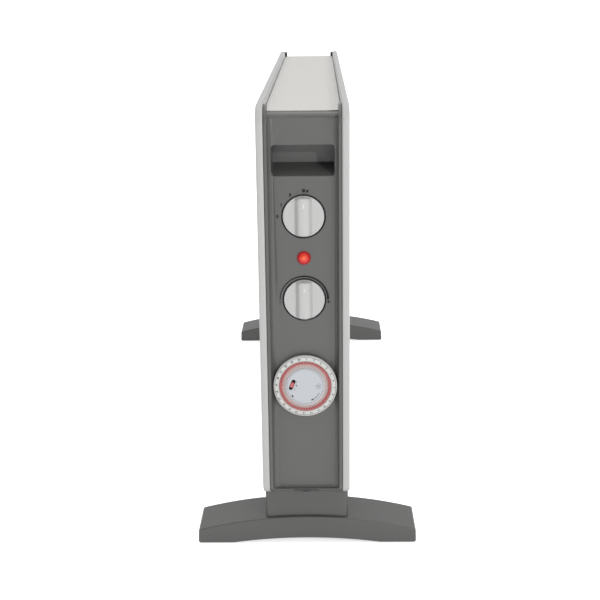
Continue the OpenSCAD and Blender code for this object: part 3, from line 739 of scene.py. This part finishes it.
def bar_height(x):
    """Height of the grip bar over the skirt's face at a distance from the middle line."""
    x = abs(x) / MM
    for (x0, h0), (x1, h1) in zip(BAR_RELIEF, BAR_RELIEF[1:]):
        if x <= x1:
            return (h0 + (h1 - h0) * (x - x0) / (x1 - x0)) * MM
    return 0


def knob(body, centre_z, material):
    """A disc with a grip bar right across it, laid out in columns along the bar."""
    skirt_y = SKIRT_Y
    radius = KNOB_R
    flat = radius - RIM_ROUND
    columns = [x * MM for x, _ in BAR_RELIEF[1:]]
    columns += [flat * math.sin(math.radians(a)) for a in SIDE_COLUMNS]
    columns = sorted([-x for x in columns] + [0] + columns)
    steps = 24
    rows = [math.sin(math.pi / 2 * (2 * j / steps - 1)) for j in range(steps + 1)]
    verts, faces = [], []
    for x in columns:
        half = math.sqrt(flat * flat - x * x)
        for share in rows:
            from_rim = flat - math.hypot(x, half * share)
            slope = min(1, max(0, from_rim) / BAR_SLOPE)
            height = bar_height(x) * math.sin(math.pi / 2 * slope) ** 0.5
            verts.append((x, skirt_y - height, centre_z + half * share))
    width = len(rows)
    for i in range(len(columns) - 1):
        for j in range(width - 1):
            a = i * width + j
            faces.append((a, a + width, a + width + 1, a + 1))
    outline = [i * width for i in range(len(columns))]
    outline += [(len(columns) - 1) * width + j for j in range(1, width)]
    outline += [i * width + width - 1 for i in range(len(columns) - 2, -1, -1)]
    outline += list(range(width - 2, 0, -1))
    count = len(outline)
    previous = outline
    drops = [(RIM_ROUND * math.sin(a), RIM_ROUND * (1 - math.cos(a)))
             for a in (math.pi / 8, math.pi / 4, 3 * math.pi / 8, math.pi / 2)]
    back = skirt_y + SKIRT_DEPTH
    hollow = ((radius - BACK_EDGE, back), (radius - SKIRT_WALL, back),
              (radius - SKIRT_WALL, skirt_y + SKIRT_WALL), (SPINDLE_TUBE_R, skirt_y + SKIRT_WALL),
              (SPINDLE_TUBE_R, back), (SPINDLE_BORE_R, back),
              (SPINDLE_BORE_R, skirt_y - SPINDLE_BORE_END))
    base = [Vector(verts[k]) for k in outline]

    def add_ring(points):
        nonlocal previous
        start = len(verts)
        verts.extend(points)
        fresh = list(range(start, start + count))
        for k in range(count):
            after = (k + 1) % count
            faces.append((previous[k], previous[after], fresh[after], fresh[k]))
        previous = fresh

    def spread(point, distance):
        """The point's direction from the axis, at another distance."""
        flat_point = Vector((point.x, 0, point.z - centre_z))
        return flat_point.normalized() * distance

    for out, drop in drops:
        ring = []
        for point in base:
            reach = spread(point, flat + out)
            ring.append((reach.x, point.y + drop, centre_z + reach.z))
        add_ring(ring)
    for distance, y in ((radius, back - BACK_EDGE),) + hollow:
        ring = []
        for point in base:
            reach = spread(point, distance)
            ring.append((reach.x, y, centre_z + reach.z))
        add_ring(ring)
    faces.append(tuple(reversed(previous)))
    piece(body + "_grip", verts, faces, material, body, "knob_plastic", 48, [body + "_knob"])


def pointer(body, centre_z, material):
    """A short raised line near the top of the grip, in a paler grey that paints a highlight along it.
    """
    front = SKIRT_Y - BAR_RELIEF[0][1] * MM
    outline = []
    half_w, low, high = 0.62 * MM, centre_z + 9.6 * MM, centre_z + 13.9 * MM
    for cz, start in ((high - half_w, 0), (low + half_w, 180)):
        for k in range(9):
            angle = math.radians(start + 180 * k / 8)
            outline.append((half_w * math.cos(angle), cz + half_w * math.sin(angle)))
    obj = piece(body + "_pointer", *slab(outline, front - 0.25 * MM, front + 0.2 * MM), material,
                body, "knob_plastic")
    edge = obj.modifiers.new("edge", "BEVEL")
    edge.width = 0.12 * MM
    edge.segments = 2


# ---------------------------------------------------------------- printed legends

PRINT = 0.08 * MM
PRINT_DEPTH = PRINT * 1.5
LEGEND_WEIGHT = 0.22 * MM

# Text, clock angle, distance from the knob's axis and height, the last two in millimetres.
SELECTOR_MARKS = (("0", 270, 26.6, 4.2), ("I", 298, 25.6, 4.2), ("II", 329, 25.8, 4.2),
                  ("III", 1, 26.3, 4.4))


def bar_mark(centre, width, height, turn=0.0, front=None):
    """A small printed rectangle on the control face."""
    cosine, sine = math.cos(math.radians(turn)), math.sin(math.radians(turn))
    outline = []
    for x, z in ((-1, -1), (1, -1), (1, 1), (-1, 1)):
        x, z = x * width / 2, z * height / 2
        outline.append((centre[0] + x * cosine + z * sine, centre[1] - x * sine + z * cosine))
    front = FACE_Y - PRINT if front is None else front
    return slab(outline, front, front + PRINT_DEPTH)


def selector_legend(material):
    """The positions of the power selector, off to full."""
    centre = (0, SELECTOR_Z)
    shapes = []
    for text, degrees, radius, size in SELECTOR_MARKS:
        shapes.append(lettering(text, polar(centre, radius * MM, degrees), size * MM, 0,
                                FACE_Y - PRINT, PRINT_DEPTH, LEGEND_WEIGHT))
    shapes.append(bar_mark(polar(centre, 26.3 * MM, 9), 1.9 * MM, 2.8 * MM, 20))
    piece("selector_legend", *merge(shapes), material, "heater", "timer_black")


def thermostat_legend(material):
    """A band that widens from cool to warm, with a minus and a plus at its ends."""
    centre = (0, THERMOSTAT_Z)
    band = arc_band(centre, -90, 90, lambda s: (24.8 - 1.2 * s) * MM, lambda s: 25.7 * MM,
                    FACE_Y - PRINT, FACE_Y + PRINT / 2, 64)
    left, right = (-25.2 * MM, THERMOSTAT_Z - 2.6 * MM), (25.0 * MM, THERMOSTAT_Z - 2.6 * MM)
    shapes = [band, bar_mark(left, 2.4 * MM, 0.8 * MM), bar_mark(right, 2.6 * MM, 0.9 * MM),
              bar_mark(right, 0.9 * MM, 2.6 * MM)]
    piece("thermostat_legend", *merge(shapes), material, "heater", "timer_black")


# ---------------------------------------------------------------- pilot lamp

LENS_TURNS, LENS_R = 72, 7.1 * MM
LENS_STEP, LENS_SHOULDER, DOME_HEIGHT = 0.35 * MM, 0.7 * MM, 4.4 * MM
FLUTES, FLUTE_DEPTH, FLUTE_MIDDLE, FLUTE_SPREAD = 24, 0.10 * MM, 0.72, 0.25
STEM_R, STEM_BORE_R, STEM_END_Y = 5 * MM, 3.6 * MM, FACE_Y + 12 * MM


def pilot_lamp(material):
    """A domed lens with a stepped foot, a shallow ring of flutes round its side and a stem."""
    foot_y = FACE_Y - 0.05 * MM
    profile = [(LENS_R, foot_y), (LENS_R, foot_y - 0.5 * MM)]
    dome = LENS_R - LENS_STEP
    steps = 12
    profile += [(dome * math.cos(math.pi / 2 * k / steps),
                 foot_y - LENS_SHOULDER - DOME_HEIGHT * math.sin(math.pi / 2 * k / steps))
                for k in range(steps)]
    profile.append((0.2 * MM, foot_y - LENS_SHOULDER - DOME_HEIGHT))
    verts, faces = lathe(profile, (0, LAMP_Z), LENS_TURNS)
    fluted = []
    for x, y, z in verts:
        reach = math.hypot(x, z - LAMP_Z)
        angle = math.atan2(z - LAMP_Z, x)
        strength = max(0, 1 - abs(reach / dome - FLUTE_MIDDLE) / FLUTE_SPREAD)
        fluted.append((x, y + FLUTE_DEPTH * strength * math.cos(FLUTES * angle), z))
    faces.append(tuple(range((len(profile) - 1) * LENS_TURNS, len(profile) * LENS_TURNS)))
    stem = [(STEM_R, foot_y), (STEM_R, STEM_END_Y), (STEM_BORE_R, STEM_END_Y),
            (STEM_BORE_R, FACE_Y - 0.9 * MM)]
    stem_shape = lathe(stem, (0, LAMP_Z), LENS_TURNS)
    piece("pilot_lens", *merge([(fluted, faces), stem_shape]), material, "heater", "lamp_red",
          40, ["lamp_lens"])


# ---------------------------------------------------------------- timer

HOURS, QUARTERS = 24, 96
DIAL_TURN = 3
NUMBER_R, NUMBER_SIZE, NUMBER_WEIGHT = 30.25 * MM, 3.0 * MM, 0.1 * MM
TICK_START, TICK_END, LONG_TICK_END = 28.1, 28.5, 28.9
FINE_LIFT, FINE_DEPTH = 0.03 * MM, 0.06 * MM

# Distance from the axis, half width and drop below the front of a red blade, in millimetres.
BLADE_STATIONS = ((21.1, 0.12, 1.0), (24.0, 0.17, 0.7), (24.7, 0.5, 0.1), (26.9, 0.64, 0.0),
                  (27.3, 0.58, 0.35))
BLADE_FLAT, BLADE_CHAMFER = 0.78, 0.14

DASHES, DASH_TURN = 48, 5.2
SLOT_TILT, SLOT_HALF, SLOT_END_R = 22, 4.1, 2.06
SLOT_FLOOR_Y = DISC_FRONT + 2.6 * MM


def timer_ring_print(materials):
    """The hours, a tick for each quarter of an hour and a fine rim line on the white ring."""
    centre = (0, TIMER_Z)
    front = DIAL_FRONT - FINE_LIFT
    shapes = []
    for hour in range(HOURS):
        turn = hour * 360 / HOURS + DIAL_TURN
        shapes.append(lettering(str(hour + 1), polar(centre, NUMBER_R, turn), NUMBER_SIZE, turn,
                                front, FINE_DEPTH, NUMBER_WEIGHT))
    for mark in range(QUARTERS):
        turn = mark * 360 / QUARTERS + DIAL_TURN
        end = LONG_TICK_END if mark % 4 == 2 else TICK_END
        middle_r = (TICK_START + end) / 2 * MM
        shapes.append(bar_mark(polar(centre, middle_r, turn), 0.3 * MM, (end - TICK_START) * MM,
                               turn, front))
    piece("dial_numbers", *merge(shapes), materials["print_grey"], "timer_ring", "timer_black")
    line = arc_band(centre, 0, 360, lambda s: 32.0 * MM, lambda s: 32.4 * MM, front,
                    front + FINE_DEPTH, 120)
    piece("dial_rim_line", *line, materials["print_grey"], "timer_ring", "timer_black")


def timer_tappets(materials):
    """The red blades, one for each quarter of an hour, wide near the rim and thin inwards."""
    shapes = []
    for i in range(QUARTERS):
        turn = math.radians((i + 0.5) * 360 / QUARTERS)
        along = Vector((math.sin(turn), 0, math.cos(turn)))
        across = Vector((math.cos(turn), 0, -math.sin(turn)))
        origin = Vector((0, 0, TIMER_Z))
        verts = []
        for radius, half, drop in BLADE_STATIONS:
            for sign, top in ((-1, False), (-BLADE_FLAT, True), (BLADE_FLAT, True), (1, False)):
                point = origin + along * radius * MM + across * sign * half * MM
                point.y = TAPPET_FRONT + (drop + (0 if top else BLADE_CHAMFER)) * MM
                verts.append(tuple(point))
        base_y = FLOOR_RING_Y + 0.05 * MM
        tops = len(verts)
        for radius, half, _ in BLADE_STATIONS:
            for sign in (-1, 1):
                point = origin + along * radius * MM + across * sign * half * MM
                point.y = base_y
                verts.append(tuple(point))
        faces = []
        for k in range(len(BLADE_STATIONS) - 1):
            a = 4 * k
            for j in range(3):
                faces.append((a + j, a + j + 1, a + 5 + j, a + 4 + j))
            b = tops + 2 * k
            faces.append((a, a + 4, b + 2, b))
            faces.append((a + 3, b + 1, b + 3, a + 7))
            faces.append((b, b + 2, b + 3, b + 1))
        faces.append((0, tops, tops + 1, 3, 2, 1))
        a, b = 4 * (len(BLADE_STATIONS) - 1), tops + 2 * (len(BLADE_STATIONS) - 1)
        faces.append((a, a + 1, a + 2, a + 3, b + 1, b))
        shapes.append((verts, faces))
    piece("tappets", *merge(shapes), materials["timer_red"], "timer_ring", "timer_red", 40,
          ["timer_tappets"])


def timer_centre(materials):
    """The fixed disc's marks: dashed circle, 1 and 0, arrows, a clock; and a near-black sheet on the
    slot's floor, painted shade in the slot.
    """
    centre = (0, TIMER_Z)
    front = DISC_FRONT - FINE_LIFT
    depth = FINE_DEPTH
    grey, black = [], []
    for i in range(DASHES):
        start = 360 * i / DASHES
        grey.append(arc_band(centre, start, start + DASH_TURN, lambda s: 18.75 * MM,
                             lambda s: 19.15 * MM, front, front + depth, 2))
    low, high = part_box("timer_slider")
    slot_x, slot_z = (low.x + high.x) / 2, (low.z + high.z) / 2
    grey.append(lettering("I", (slot_x + 4.2 * MM, slot_z + 2.9 * MM), 2.8 * MM, 0, front, depth,
                          0.15 * MM))
    grey.append(lettering("0", (slot_x + 4.4 * MM, slot_z - 0.9 * MM), 2.6 * MM, 0, front, depth,
                          0.15 * MM))
    for k in range(3):
        spot = (slot_x + (1.9 + 0.5 * k) * MM, slot_z - (3.6 + 1.1 * k) * MM)
        grey.append(bar_mark(spot, 0.5 * MM, 0.8 * MM, 20, front))
    black.append(arc_band(centre, 115, 150, lambda s: 16.2 * MM, lambda s: 16.7 * MM, front,
                          front + depth, 18))
    for turn, radius, heading in ((154, 16.4, 250), (233, 17.2, 325)):
        tip = polar(centre, radius * MM, turn)
        outline = []
        for reach, spin in ((2.0, 0), (1.7, 140), (1.7, 220)):
            angle = math.radians(heading + spin)
            outline.append((tip[0] + reach * MM * math.sin(angle),
                            tip[1] + reach * MM * math.cos(angle)))
        black.append(slab(outline, front, front + depth))
    clock = (14.1 * MM, TIMER_Z + 0.4 * MM)
    for k in range(4):
        for part in (-1, 0, 1):
            corner = math.radians(45 + 90 * k)
            shift = part * 1.35 * MM
            spot = (clock[0] + 2.3 * MM * math.cos(corner) - shift * math.sin(corner),
                    clock[1] + 2.3 * MM * math.sin(corner) + shift * math.cos(corner))
            grey.append(bar_mark(spot, 0.4 * MM, 0.9 * MM, -45 - 90 * k, front))
    black.append(bar_mark((clock[0] - 0.15 * MM, clock[1] + 0.55 * MM), 0.5 * MM, 1.9 * MM, 15,
                          front))
    black.append(bar_mark((clock[0] + 0.45 * MM, clock[1] - 0.25 * MM), 0.5 * MM, 1.7 * MM, 125,
                          front))
    piece("disc_marks_grey", *merge(grey), materials["print_grey"], "heater", "timer_black")
    piece("disc_marks_black", *merge(black), materials["print_and_slot_shade_black"], "heater", "timer_black")
    # A near-black sheet just over the slot's floor: painted shade in the slot.
    shade_sheet_outline = []
    tilt = math.radians(SLOT_TILT)
    for cz, start in ((SLOT_HALF, 0), (-SLOT_HALF, 180)):
        for k in range(13):
            angle = math.radians(start + 180 * k / 12)
            x, z = SLOT_END_R * math.cos(angle), cz + SLOT_END_R * math.sin(angle)
            shade_sheet_outline.append((slot_x + (x * math.cos(tilt) + z * math.sin(tilt)) * MM,
                                  slot_z + (z * math.cos(tilt) - x * math.sin(tilt)) * MM))
    piece("slot_painted_shade", *slab(shade_sheet_outline, SLOT_FLOOR_Y - PRINT, SLOT_FLOOR_Y - 0.01 * MM),
          materials["print_and_slot_shade_black"], "heater", "timer_black")


# ---------------------------------------------------------------- carried-over CAD nodes

BEVEL_FROM_ANGLE = 30
FLAT_ANGLE = 0.5
WELD_DISTANCE = 0.005 * MM


def soften(node, width, segments):
    """Rounds the sharp edges of a CAD node with modifiers, without touching its mesh."""
    obj = NODES[node]
    weld = obj.modifiers.new("weld", "WELD")
    weld.merge_threshold = WELD_DISTANCE
    flat = obj.modifiers.new("flat", "DECIMATE")
    flat.decimate_type = "DISSOLVE"
    flat.angle_limit = math.radians(FLAT_ANGLE)
    bevel = obj.modifiers.new("bevel", "BEVEL")
    bevel.width = width
    bevel.segments = segments
    bevel.limit_method = "ANGLE"
    bevel.angle_limit = math.radians(BEVEL_FROM_ANGLE)
    bevel.use_clamp_overlap = False


def dress_cad_nodes(materials):
    """Gives every CAD node the material of its slot in the record."""
    slots = {row["node"]: row["material_slot"] for row in frame["record"]["subparts"]}
    for name, obj in NODES.items():
        obj.data.materials.clear()
        obj.data.materials.append(materials[slots[name]])


# ---------------------------------------------------------------- build

aim_camera()
MATERIALS = build_materials()
light_scene()
dress_cad_nodes(MATERIALS)
for cap in ("control_end_cap", "far_end_cap"):
    soften(cap, 0.7 * MM, 3)
foot("near_foot", lambda depth: NEAR_Y + depth, MATERIALS["foot_plastic"])
foot("far_foot", lambda depth: FAR_Y - depth, MATERIALS["foot_plastic"])
soften("top_cover", 0.4 * MM, 2)
panel_skin(1, "right_panel", MATERIALS["panel_paint"])
panel_skin(-1, "left_panel", MATERIALS["panel_paint"])
for control, height in (("selector", SELECTOR_Z), ("thermostat", THERMOSTAT_Z)):
    knob(control, height, MATERIALS["knob_plastic"])
    pointer(control, height, MATERIALS["pointer_highlight_grey"])
selector_legend(MATERIALS["print_and_slot_shade_black"])
thermostat_legend(MATERIALS["print_and_slot_shade_black"])
pilot_lamp(MATERIALS["lamp_red"])
timer_ring_print(MATERIALS)
timer_tappets(MATERIALS)
timer_centre(MATERIALS)
